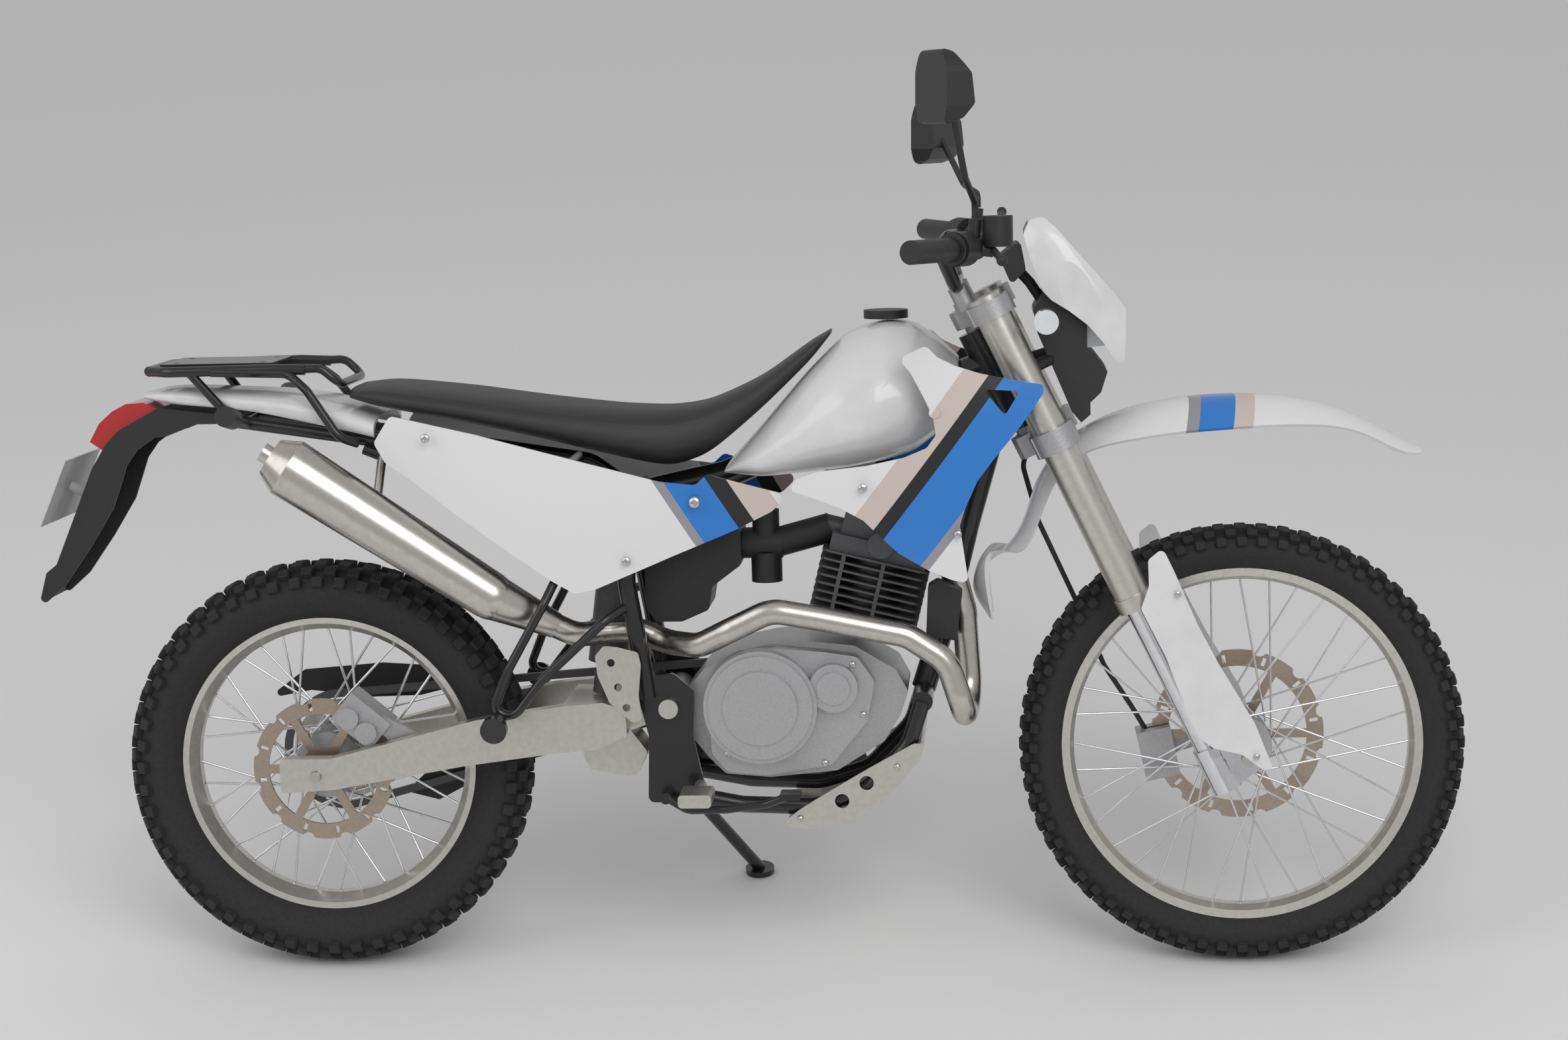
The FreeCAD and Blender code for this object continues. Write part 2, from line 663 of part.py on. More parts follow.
def caliper(centre, angle, disc_y_mid, disc_r, side, bracket_end, seat_y):
    """A caliper straddling its disc, with the bracket that bolts it on."""
    inner = disc_r - 34
    outer = disc_r + 20
    body = Part.makeBox(outer - inner, 54, 78, V(inner, disc_y_mid - 27, -39))
    gap = Part.makeBox(disc_r + 6 - inner + 20, 14, 100, V(inner - 20, disc_y_mid - 7, -50))
    pot = disc_y(disc_r - 14, -18, disc_y_mid, disc_y_mid + side * 36, 17)
    pot2 = disc_y(disc_r - 14, 18, disc_y_mid, disc_y_mid + side * 36, 17)
    whole = joined(body, pot, pot2).cut(gap)
    whole.rotate(V(0, 0, 0), V(0, 1, 0), -angle)
    whole.translate(centre)
    y0, y1 = sorted((disc_y_mid + side * 10, disc_y_mid + side * 20))
    a = math.radians(angle)
    mid = V(centre.x + disc_r * math.cos(a), 0, centre.z + disc_r * math.sin(a))
    way = V(bracket_end.x - mid.x, 0, bracket_end.z - mid.z)
    normal = V(-way.z, 0, way.x).normalize() * 14
    corners = [mid + normal, bracket_end + normal, bracket_end - normal, mid - normal]
    arm = slab([(p.x, p.z) for p in corners], y0, y1, 5)
    s0, s1 = sorted((disc_y_mid + side * 12, side * seat_y))
    inward = bracket_end - V(way).normalize() * 12
    boss = disc_y(inward.x, inward.z, s0, s1, 9)
    return joined(whole, arm, boss)


axle_front = V(wheelbase, 0, front_tyre_r)
axle_rear = V(0, 0, rear_tyre_r)
leg_at_axle = steering_point(clamp_offset, 0, 22)
front_caliper = caliper(axle_front, 192, 58, 134, 1, V(leg_at_axle.x + 14, 0, leg_at_axle.z), leg_y)
front_caliper = front_caliper.cut(fork_slider(1, seat_gap))
front_caliper = max(front_caliper.Solids, key=lambda s: s.Volume)
keep("front_caliper", front_caliper)
keep("rear_caliper", caliper(axle_rear, 50, -62, 112, -1, V(162, 0, 366), arm_inner_y - seat_gap))


def hose():
    """The front brake hose, from its union on the lower clamp down behind the left leg to the caliper."""
    run = tube([V(1112, 60, 812), V(1098, 62, 770), V(1122, 70, 680), V(1176, 72, 560), V(1222, 70, 450),
                V(1264, 66, 385), V(1296, 66, 330)], 4, 30)
    clear = run.cut(lower_clamp_box).cut(front_caliper)
    return max(clear.Solids, key=lambda s: s.Volume)


keep("front_brake_hose", hose())


# ---- frame --------------------------------------------------------------------------------------
def backbone_points():
    neck = steering_point(-10, 0, 700)
    return [V(neck.x, 0, neck.z), V(900, 0, 880), V(640, 0, 770), V(505, 0, 742)]


def down_tube_points():
    neck = steering_point(-12, 0, 640)
    return [V(neck.x, 0, neck.z), V(1012, 0, 690), V(968, 0, 520), V(940, 0, 432)]


def upright_points(side):
    y = side * 100
    return [V(500, y, 742), V(492, y, 620), V(512, y, 500), V(520, y, 440)]


def main_frame():
    """Head tube, backbone, down tube, cradle, uprights and pivot plates, all welded together."""
    head_low, head_high = steering_point(0, 0, head_tube_low), steering_point(0, 0, head_tube_high)
    head = rod(head_low, head_high, head_tube_r)
    way = V(head_high - head_low).normalize()
    bore = rod(head_low - way, head_high + way, stem_r + running_fit)
    backbone = tube(backbone_points(), 22, 90)
    down = tube(down_tube_points(), 19, 90)
    pieces = [head, backbone, down]
    pieces.append(cross_rod(940, 428, 92, 16))
    pieces.append(cross_rod(500, 742, 108, 14))
    pieces.append(cross_rod(556, 288, 104, 13))
    for side in (-1, 1):
        y = side * 85
        rail = tube([V(940, y, 428), V(918, y, 360), V(850, y, 288), V(770, y, 264), V(660, y, 268),
                     V(556, y, 288)], 13, 60)
        upright = tube(upright_points(side), 14, 80)
        y0, y1 = sorted((side * plate_y, side * (plate_y + plate_t)))
        plate = slab([(498, 470), (560, 478), (592, 450), (588, 380), (604, 300), (590, 276), (516, 276),
                      (520, 380)], y0, y1, 10)
        pieces += [rail, upright, plate]
    axis = stand_axis()
    lug = rod(stand_pivot - axis * 34, stand_pivot - axis * (stand_eye_half + seat_gap), 15)
    pin = rod(stand_pivot - axis * 24, stand_pivot + axis * (stand_eye_half + 5), stand_pin_r)
    web = rod(V(552, 92, 288), stand_pivot - axis * 29, 8)
    whole = joined(*pieces, lug, pin, web)
    hole = cross_rod(pivot_x, pivot_z, 200, pivot_bolt_r + seat_gap)
    return whole.cut(bore).cut(hole)


def stand_ground_point():
    """Where the stand's foot meets the floor of the leaning bike."""
    return V(stand_foot_x, stand_foot_y, stand_foot_y * math.tan(math.radians(lean)))


def stand_axis():
    down = V(stand_ground_point() - stand_pivot).normalize()
    return down.cross(V(stand_folded_way)).normalize()


keep("main_frame", main_frame())


def side_stand():
    """The eye on its pin, the leg and the foot that lies flat on the floor."""
    axis = stand_axis()
    eye = rod(stand_pivot - axis * stand_eye_half, stand_pivot + axis * stand_eye_half, 15)
    ground = stand_ground_point()
    a = math.radians(lean)
    up = V(0, -math.sin(a), math.cos(a))
    foot_low = ground - up * 1.0
    foot = rod(foot_low, foot_low + up * 9, 24)
    leg = rod(stand_pivot, foot_low + up * 7, stand_tube_r)
    bore = rod(stand_pivot - axis * 40, stand_pivot + axis * 40, stand_pin_r + running_fit)
    return joined(eye, leg, foot).cut(bore)


keep("side_stand", side_stand())


def subframe(grow=0.0):
    """The seat rails, their struts and the cross tubes that carry the tail."""
    pieces = []
    for side in (-1, 1):
        rail = tube([V(486, side * 78, 742), V(420, side * 74, 790), V(160, side * 74, 832),
                     V(-120, side * 56, 872)], 10 + grow, 60)
        strut = tube([V(484, side * 82, 640), V(430, side * 84, 690), V(90, side * 74, 828)], 9 + grow, 60)
        pieces += [rail, strut]
    pieces.append(cross_rod(-112, 871, 56, 9 + grow))
    pieces.append(cross_rod(150, 833, 74, 9))
    pieces.append(cross_rod(400, 793, 74, 9))
    cut_low = both_sides(rod(V(500, 100, 742), V(492, 100, 560), 18 + seat_gap))
    whole = joined(*pieces)
    for c in cut_low:
        whole = whole.cut(c)
    return whole.cut(cross_rod(500, 742, 130, 14 + seat_gap))


keep("subframe", subframe())


def swingarm():
    """Two tapered box arms, the bridge ahead of the wheel and the pivot tube."""
    pieces = []
    arm = [(-56, 351), (24, 351), (253, 410), (384, 430), (452, 436), (486, 424), (488, 384), (440, 362),
           (382, 358), (232, 338), (28, 302), (-56, 297)]
    slot = disc_y(0, rear_tyre_r, -200, 200, axle_r + seat_gap)
    for side in (-1, 1):
        y0, y1 = sorted((side * arm_inner_y, side * arm_outer_y))
        pieces.append(slab(arm, y0, y1, 6))
        y0, y1 = sorted((side * 38, side * 66))
        pieces.append(slab([(470, 376), (470, 426), (pivot_x, pivot_z + 20), (pivot_x, pivot_z - 20)], y0, y1))
    pieces.append(slab([(384, 376), (384, 426), (484, 426), (486, 384), (440, 370)], -arm_inner_y, arm_inner_y))
    pieces.append(cross_rod(pivot_x, pivot_z, 68, 22))
    pieces.append(slab([(400, 380), (478, 380), (508, 340), (490, 302), (470, 302), (418, 312), (408, 330)],
                       -34, 34, 10))
    return joined(*pieces).cut(slot).cut(cross_rod(pivot_x, pivot_z, 200, pivot_bolt_r + seat_gap))


keep("rear_axle", cross_rod(0, rear_tyre_r, arm_outer_y + 8, axle_r))
keep("swingarm", swingarm(), joined(cross_rod(pivot_x, pivot_z, 112, pivot_bolt_r),
                                disc_y(pivot_x, pivot_z, -114, -104 - seat_gap, 15),
                                disc_y(pivot_x, pivot_z, 104 + seat_gap, 114, 15)))


def rear_shock():
    low, high = V(438, 0, 429), V(478, 0, 728)
    way = V(high - low).normalize()
    body = joined(rod(low, high, 12), rod(low + way * 50, high - way * 46, 30))
    eye = rod(low, low + way * 30, 18)
    return joined(body, eye)


keep("rear_shock", rear_shock().cut(cross_rod(500, 742, 130, 14 + seat_gap)))


# ---- engine -------------------------------------------------------------------------------------
def crankcase():
    points = [(566, 393), (573, 440), (603, 477), (656, 505), (708, 516), (765, 520), (837, 512), (900, 474),
              (918, 440), (906, 404), (880, 362), (807, 317), (703, 307), (634, 313), (608, 339)]
    return slab(points, -crank_half, crank_half, 12).cut(cross_rod(pivot_x, pivot_z, 200, 24))


def right_cover():
    points = [(616, 350), (612, 420), (628, 472), (668, 506), (720, 514), (790, 508), (842, 500), (868, 462),
              (856, 400), (800, 332), (700, 316), (640, 322)]
    base = slab(points, -98, -crank_half, 14)
    clutch = joined(disc_y(694, 427, -122, -90, 87), disc_y(694, 427, -126, -90, 80), disc_y(694, 427, -130, -90, 57))
    small = joined(disc_y(806, 455, -118, -90, 37), disc_y(806, 455, -122, -90, 25))
    return joined(base, clutch, small)


def left_cover():
    base = slab([(690, 340), (686, 480), (760, 512), (850, 490), (880, 430), (850, 360), (780, 326)],
                crank_half, 100, 14)
    rotor = joined(disc_y(780, 425, 90, 116, 72), disc_y(780, 425, 90, 121, 58))
    sprocket_plate = slab([(586, 392), (592, 460), (640, 492), (700, 488), (700, 352), (640, 346)], 87, 95, 12)
    return joined(base, rotor, sprocket_plate)


keep("engine_cases", crankcase(), right_cover(), left_cover())


def on_barrel(shape):
    """Stands a shape drawn along Z on the tilted barrel's base."""
    placed = shape.copy()
    placed.rotate(V(0, 0, 0), V(0, 1, 0), cylinder_tilt)
    placed.translate(barrel_base)
    return placed


def fin_plate(z, half_x, half_y):
    plate = Part.makeBox(2 * half_x, 2 * half_y, fin_t, V(-half_x, -half_y, z))
    return plate.makeFillet(16, [e for e in plate.Edges if abs(e.Vertexes[0].Z - e.Vertexes[1].Z) > 1])


def barrel():
    top = 40 + fin_pitch * (fin_count - 1) + fin_t
    core = rod(V(0, 0, 22), V(0, 0, top), 52)
    fins = [fin_plate(40 + fin_pitch * k, 84 - 5 * (k == 0), 76) for k in range(fin_count)]
    ribs = [Part.makeBox(6, 150, top - 40, V(x, -75, 40)) for x in (-52, 10)]
    return on_barrel(joined(core, *fins, *ribs).cut(rod(port_root, port_tip, 21)))


def head():
    low = 40 + fin_pitch * (fin_count - 1) + fin_t
    base = Part.makeBox(150, 130, 26, V(-74, -65, low))
    cover = Part.makeBox(118, 108, 44, V(-62, -54, low + 26))
    cover = cover.makeFillet(14, [e for e in cover.Edges if min(v.Z for v in e.Vertexes) > low + 60])
    cap = rod(V(2, -74, low + 24), V(2, -50, low + 24), 20)
    port = rod(port_root, port_tip, 20)
    inlet = rod(V(-90, -6, low + inlet_rise), V(-60, -6, low + inlet_rise), inlet_r)
    return on_barrel(joined(base, cover, cap, port, inlet))


port_root = V(50, -26, 40 + fin_pitch * (fin_count - 1) + fin_t + 28)
port_tip = V(98, -46, 40 + fin_pitch * (fin_count - 1) + fin_t + 16)
inlet_r = 19.0
inlet_rise = 24.0
keep("cylinder", barrel(), head())


def carburettor():
    """The carburettor body, its float bowl and top, and the rubber boot over the head's inlet."""
    throat = rod(V(664 + seat_gap, -6, 664), V(726, -6, 664), 24)
    bowl = rod(V(700, -6, 604), V(700, -6, 650), 24)
    top = rod(V(700, -6, 660), V(700, -6, 716), 21)
    stub = 40 + fin_pitch * (fin_count - 1) + fin_t + inlet_rise
    end = on_barrel(Part.Vertex(V(-80, -6, stub))).Point
    boot = rod(V(716, -6, 664), V(end.x, -6, end.z), 23)
    inlet = on_barrel(rod(V(-90 - seat_gap, -6, stub), V(-50, -6, stub), inlet_r + seat_gap))
    return joined(throat, bowl, top, boot).cut(inlet)


def airbox():
    points = [(514, 570), (530, 548), (570, 548), (612, 566), (618, 602), (664, 636), (664, 690), (560, 716),
              (514, 700)]
    return slab(points, -46, 46, 10)


def canister():
    """The black canister beside the down tube, on a bracket welded behind the pipe."""
    body = slab([(952, 608), (966, 616), (1004, 600), (994, 524), (948, 534)], -104, -68, 6)
    bracket = rod(V(964, -80, 560), V(964, 0, 560), 6).cut(tube(down_tube_points(), 19 + seat_gap, 90))
    return joined(body, max(bracket.Solids, key=lambda s: s.Volume))


mixer = carburettor().cut(PARTS["cylinder"][0]).cut(PARTS["cylinder"][1])
keep("intake", max(mixer.Solids, key=lambda s: s.Volume), airbox())


muffler_front, muffler_rear = V(289, -132, 606), V(-8, -166, 812)


def header_points():
    """From the exhaust port, down beside the down tube, round its loop and back over the clutch cover."""
    port = on_barrel(Part.Vertex(port_tip)).Point
    out = V(port - on_barrel(Part.Vertex(port_root)).Point).normalize()
    last = V(412, -88, 536)
    return [port + out * seat_gap, port + out * 22, V(1006, -46, 560), V(1012, -46, 440), V(1006, -90, 404),
            V(1002, -138, 430), V(980, -138, 500), V(920, -138, 540), V(794, -138, 566), V(716, -138, 580),
            V(650, -132, 548), V(602, -112, 522), V(548, -66, 520), V(500, -60, 540), V(452, -66, 538),
            last, last + (muffler_front - last) * 0.25]


def exhaust_pipe():
    return tube(header_points(), header_r, 60)


def muffler():
    """A tapered can with its end cap, and the cone that meets the pipe."""
    end = header_points()[-1]
    front, rear = muffler_front, muffler_rear
    way = V(rear - front).normalize()
    cone_way = V(front - end).normalize()
    cone = Part.makeCone(header_r + 1, 36, (front - end).Length - seat_gap, end + cone_way * seat_gap, front - end)
    can = Part.makeCone(37, 46, (rear - front).Length, front, way)
    cap = Part.makeCone(46, 30, 30, rear, way)
    outlet = rod(rear, rear + way * 44, 15)
    knuckle = Part.makeSphere(36.4, front)
    knuckle = knuckle.cut(cone)
    strap = rod(V(118, -146, 728), V(118, -74, 820), 7).cut(subframe(seat_gap))
    whole = joined(cone, can, cap, knuckle, outlet, max(strap.Solids, key=lambda s: s.Volume))
    return whole.cut(rod(rear + way * 20, rear + way * 60, 12))


keep("exhaust_pipe", exhaust_pipe())
keep("canister", max(canister().cut(tube(header_points(), header_r + 1, 60)).Solids, key=lambda s: s.Volume))
keep("muffler", muffler())


# ---- foot controls, stands and guards -------------------------------------------------------------
def rider_peg():
    stem = disc_y(598, 303, -150, -plate_y - plate_t - seat_gap, 9)
    tread = slab([(574, 292), (624, 292), (624, 312), (574, 312)], -208, -146, 6)
    return joined(stem, tread)


keep("rider_footpegs", *both_sides(rider_peg()))


def passenger_peg():
    """A bent-tube bracket hung from the frame, with its folding peg."""
    hoop = tube([V(436, -84, 684), V(402, -116, 654), V(388, -126, 630), V(372, -150, 596), V(318, -168, 500),
                 V(292, -168, 436), V(322, -168, 424),
                 V(366, -164, 480), V(462, -130, 566), V(497, -100, 586)], 7, 30)
    foot = rod(V(300, -160, 424), V(300, -212, 416), 12)
    cap = rod(V(300, -206, 417), V(300, -220, 415), 20)
    whole = joined(hoop, foot, cap).cut(subframe(seat_gap)).cut(tube(upright_points(-1), 14 + seat_gap, 80))
    return max(whole.Solids, key=lambda s: s.Volume)


keep("passenger_footpegs", *both_sides(passenger_peg()))


def heel_guard():
    points = [(444, 511), (457, 526), (478, 524), (510, 516), (514, 496), (509, 448), (514, 412), (499, 406),
              (464, 438), (447, 480)]
    plate = slab(points, -128, -125, 8)
    for x, z in ((478, 462), (468, 500), (490, 430)):
        plate = plate.cut(disc_y(x, z, -140, -110, 6))
    stud = disc_y(505, 508, -126, -106, 5).cut(tube(upright_points(-1), 14 + seat_gap, 80))
    return joined(plate, max(stud.Solids, key=lambda s: s.Volume))


keep("rider_footpegs", *both_sides(heel_guard()))


def brake_pedal():
    """Pivots on the frame plate, passes under the footpeg and rises to its pad."""
    hub_end = disc_y(546, 288, -130, -plate_y - plate_t - seat_gap, 9)
    arm = tube([V(546, -124, 288), V(580, -132, 270), V(640, -136, 272), V(700, -138, 280), V(742, -150, 298)],
               6, 30)
    pad = slab([(724, 294), (756, 294), (756, 304), (724, 304)], -172, -140, 3)
    return joined(hub_end, arm, pad)


def gear_lever():
    arm = tube([V(650, 120, 330), V(700, 138, 316), V(748, 142, 312)], 5, 30)
    hub_end = disc_y(650, 330, crank_half + seat_gap, 126, 8)
    pad = disc_y(748, 312, 138, 170, 9)
    return joined(arm, hub_end, pad)


keep("foot_levers", brake_pedal(), gear_lever())


def skid_plate():
    outer = [(716, 238), (771, 233), (829, 246), (880, 275), (936, 342), (944, 366), (926, 366), (857, 328),
             (804, 297), (751, 265)]
    inner = [(700, 243), (771, 238), (827, 251), (876, 279), (931, 345), (938, 380), (700, 380)]
    shell = slab(outer, -106, 106, 8).cut(slab(inner, -102, 102, 0))
    for x, z in ((853, 305), (815, 277)):
        shell = shell.cut(disc_y(x, z, -120, 120, 11))
    bosses = both_sides(disc_y(782, 262, -103, -98 - seat_gap, 7))
    return joined(shell, *bosses)


keep("skid_plate", skid_plate())


def chain_guard():
    """The upper guard on two tabs against the left arm, and the fin under the chain's lower run."""
    y0, y1 = arm_outer_y + seat_gap, arm_outer_y + 4.3
    rail = slab([(-136, 398), (-70, 446), (60, 456), (150, 450), (230, 462), (236, 420), (160, 412), (120, 402),
                 (40, 400), (-60, 412)], y0, y1, 6)
    tabs = [slab([(x, 430), (x + 20, 430), (x + 20, low), (x, low)], y0, y1, 3) for x, low in ((196, 384), (4, 336))]
    fin = slab([(96, 250), (170, 318), (212, 352), (242, 352), (236, 322), (200, 262), (150, 236)],
               arm_inner_y - 6, arm_inner_y - seat_gap, 6)
    return joined(rail, *tabs), fin


keep("chain_guard", *chain_guard())


# ---- bodywork -----------------------------------------------------------------------------------
def seat():
    """The long two-up saddle as one plain block."""
    return loft([section(72, 903, 921, 84, 3), section(120, 888, 925, 106, 3), section(240, 866, 912, 114, 3),
                 section(360, 838, 894, 114, 3), section(480, 806, 880, 108, 3), section(560, 788, 877, 98, 3),
                 section(618, 806, 886, 88, 3), section(700, 874, 922, 78, 3), section(776, 946, 976, 66, 3),
                 section(808, 984, 992, 52, 3)])


def tank():
    """The fuel tank with its tunnel over the backbone and its filler neck."""
    body = loft([section(640, 776, 800, 92), section(700, 770, 856, 126, 3, 0.05),
                 section(770, 776, 930, 146, 3, 0.12), section(840, 786, 998, 152, 3, 0.25),
                 section(900, 796, 1006, 150, 3, 0.3), section(940, 812, 1000, 128, 3, 0.3),
                 section(975, 836, 976, 74, 3, 0.2), section(1026, 872, 934, 44, 3, 0.2)])
    spine = backbone_points()
    below = [(p.x, p.z) for p in spine] + [(spine[-1].x, 650), (spine[0].x, 650)]
    tunnel = joined(tube(spine, 22 + seat_gap, 90), slab(below, -22 - seat_gap, 22 + seat_gap))
    column = rod(steering_point(0, 0, head_tube_low - 60), steering_point(0, 0, head_tube_high + 60), 44)
    neck = rod(V(892, 0, 985), V(892, 0, 1008), 24)
    whole = joined(body, neck).cut(tunnel).cut(column)
    saddle = seat()
    lowered = [saddle.copy(), saddle.copy()]
    lowered[0].translate(V(0, 0, -0.4))
    lowered[1].translate(V(4, 0, 0))
    for s in lowered:
        whole = whole.cut(s)
    return max(whole.Solids, key=lambda s: s.Volume)


fuel_tank = tank()
keep("fuel_tank", fuel_tank)
keep("fuel_cap", rod(V(892, 0, 1008 + seat_gap), V(892, 0, 1021), 34))

shroud_points = [(1129, 917), (1084, 926), (1036, 936), (999, 948), (973, 961), (957, 978), (916, 960),
                 (934, 938), (954, 900), (966, 873), (970, 847), (956, 828), (922, 814), (866, 802), (791, 793),
                 (760, 782), (748, 765), (790, 752), (827, 738), (860, 720), (883, 697), (912, 670), (957, 643),
                 (990, 629), (1015, 623), (1011, 650), (1003, 711), (1011, 737), (1030, 778), (1053, 808),
                 (1091, 853), (1128, 904)]
shroud_hole = [(1040, 913), (1094, 909), (1072, 874)]


def tank_shroud():
    skin = bulged(shroud_points, -184, (990, 790), 1100, wall, 10)
    skin = skin.cut(slab(shroud_hole, -220, -100, 4))
    outward = fuel_tank.copy()
    outward.translate(V(0, -seat_gap, 0))
    bracket = disc_y(968, 880, -183, -40, 8).cut(outward)
    bracket = min(bracket.Solids, key=lambda s: s.BoundBox.YMin)
    return joined(skin, bracket)


keep("tank_shrouds", *both_sides(tank_shroud()))

side_panel_points = [(114, 841), (141, 882), (171, 876), (274, 854), (395, 822), (491, 796), (552, 779),
                     (606, 772), (624, 788), (744, 752), (719, 728), (664, 702), (572, 666), (448, 615),
                     (418, 610), (387, 628), (327, 670), (244, 730), (176, 782), (131, 812)]


def side_panel():
    skin = bulged(side_panel_points, -150, (420, 760), 1500, wall, 10)
    stay = rod(V(300, -143, 800), V(300, -74, 807), 6).cut(subframe(seat_gap))
    return joined(skin, min(stay.Solids, key=lambda s: s.BoundBox.YMin))


keep("side_panels", *both_sides(side_panel()))


def seat_on_feet():
    """The saddle with the rubber feet that stand on the subframe's cross tubes."""
    whole = seat()
    for x, low, top in ((150, 833, 894), (400, 793, 846)):
        for y in (-50, 50):
            whole = whole.fuse(rod(V(x, y, low), V(x, y, top), 8))
    whole = whole.cut(subframe(seat_gap))
    return max(whole.Solids, key=lambda s: s.Volume)


keep("seat", seat_on_feet())


def tail_fairing():
    outer = loft([section(-262, 906, 916, 40, 3), section(-240, 900, 921, 50, 3), section(-150, 888, 921, 64, 3),
                  section(-40, 870, 914, 80, 3), section(50, 850, 898, 94, 3), section(112, 838, 878, 102, 3)])
    inner = loft([section(-300, 880, 908, 30, 3), section(-240, 880, 916, 45, 3), section(-150, 860, 916, 59, 3),
                  section(-40, 840, 909, 75, 3), section(50, 820, 893, 89, 3), section(130, 800, 872, 98, 3)])
    return outer.cut(inner)




def rack():
    """The luggage rack: two side tubes, cross tubes, the grab hoop, its legs and the flat carrier plate."""
    tube_r = 8
    z = rack_top_z - tube_r - 2.5
    pieces = []
    for side in (-1, 1):
        y = side * 84
        pieces.append(tube([V(-244, side * 60, z), V(-210, y, z), V(-40, y, z + 2), V(6, y, z)], tube_r, 30))
        pieces.append(tube([V(-140, side * 88, z - 1), V(-20, side * 88, z - 5), V(10, side * 98, z - 30),
                            V(60, side * 112, 850), V(84, side * 92, 838)], 6.8, 30))
        pieces.append(tube([V(-176, y, z), V(-134, side * 72, 898), V(-108, side * 57, 870)], 7, 10))
    pieces.append(tube([V(-6, -82, z + 1), V(30, -82, z + 2), V(58, -78, 928), V(58, 78, 928), V(30, 82, z + 2),
                        V(-6, 82, z + 1)], 6.5, 24))
    pieces.append(rod(V(-244, -62, z), V(-244, 62, z), tube_r))
    pieces.append(rod(V(-120, -84, z), V(-120, 84, z), 7))
    plate = Part.makeBox(176, 128, 4, V(-226, -64, rack_top_z - 4))
    for x in (-206, -70):
        for y in (-44, 44):
            plate = plate.cut(rod(V(x, y, 0), V(x, y, 1200), rack_hole_r))
    pieces.append(rod(V(-166, -84, z), V(-166, 84, z), 6.2))
    return joined(*pieces), plate


rack_tubes, rack_plate = rack()
rack_solid = joined(rack_tubes, rack_plate).cut(subframe(seat_gap))
keep("luggage_rack", max(rack_solid.Solids, key=lambda s: s.Volume))
fairing = tail_fairing().cut(rack_tubes)
keep("tail_fairing", max(fairing.Solids, key=lambda s: s.Volume))


def rear_mudguard():
    outer = [(-100, 884), (-150, 884), (-236, 894), (-300, 860), (-322, 838), (-346, 800), (-383, 715),
             (-411, 651), (-428, 638), (-440, 596), (-432, 590), (-396, 621), (-352, 681), (-314, 740),
             (-298, 783), (-290, 805), (-272, 829), (-244, 848), (-224, 850), (-176, 868), (-100, 868)]
    inner = [(-90, 880), (-150, 880), (-234, 889), (-296, 855), (-317, 834), (-341, 798), (-378, 713),
             (-406, 648), (-423, 633), (-436, 590), (-300, 560), (-150, 700), (-90, 860)]
    block = slab(outer, -58, 58, 6)
    return block.cut(slab(inner, -54, 54)).cut(subframe(seat_gap)).cut(rack_tubes), block


mudguard, mudguard_block = rear_mudguard()
keep("rear_mudguard", *mudguard.Solids)
keep("tail_light", slab([(-238, 890), (-262, 902), (-290, 900), (-312, 889), (-334, 870), (-350, 842),
                         (-330, 828), (-300, 852)], -46, 46, 0).cut(mudguard_block))


def number_plate():
    plate = Part.makeBox(2, 170, 112, V(-1, -85, -56))
    plate.rotate(V(0, 0, 0), V(0, 1, 0), 24)
    plate.translate(V(-401, 0, 766))
    stay = rod(V(-400, 0, 768), V(-356, 0, 748), 9).cut(mudguard_block)
    return joined(plate, min(stay.Solids, key=lambda s: s.BoundBox.XMin))


keep("number_plate", number_plate())




def rear_indicator():
    stalk = rod(V(-92, -58, 866), V(-92, -156, 886), 6).cut(subframe(seat_gap))
    lamp = rod(V(-92, -152, 885), V(-92, -192, 893), 16)
    return joined(min(stalk.Solids, key=lambda s: s.BoundBox.YMin), lamp)


keep("rear_indicators", *both_sides(rear_indicator()))


# ---- leaning, origin and export -------------------------------------------------------------------
def leaned(shape):
    placed = shape.copy()
    placed.rotate(V(0, 0, 0), V(1, 0, 0), -lean)
    return placed


def finish_row():
    """Leans every piece, then moves the box's bottom centre to the origin."""
    rows = {name: [leaned(s) for s in solids] for name, solids in PARTS.items()}
    boxes = [s.optimalBoundingBox(False, False) for solids in rows.values() for s in solids]
    shift = V(-(min(b.XMin for b in boxes) + max(b.XMax for b in boxes)) / 2,
              -(min(b.YMin for b in boxes) + max(b.YMax for b in boxes)) / 2,
              -min(b.ZMin for b in boxes))
    for solids in rows.values():
        for s in solids:
            s.translate(shift)
    return rows, shift


ROWS, SHIFT = finish_row()
os.makedirs("parts", exist_ok=True)
for name, solids in ROWS.items():
    Part.makeCompound(solids).exportStep(os.path.join("parts", name + ".step"))
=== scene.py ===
import math
import bpy
import numpy as np
from mathutils import Matrix, Vector


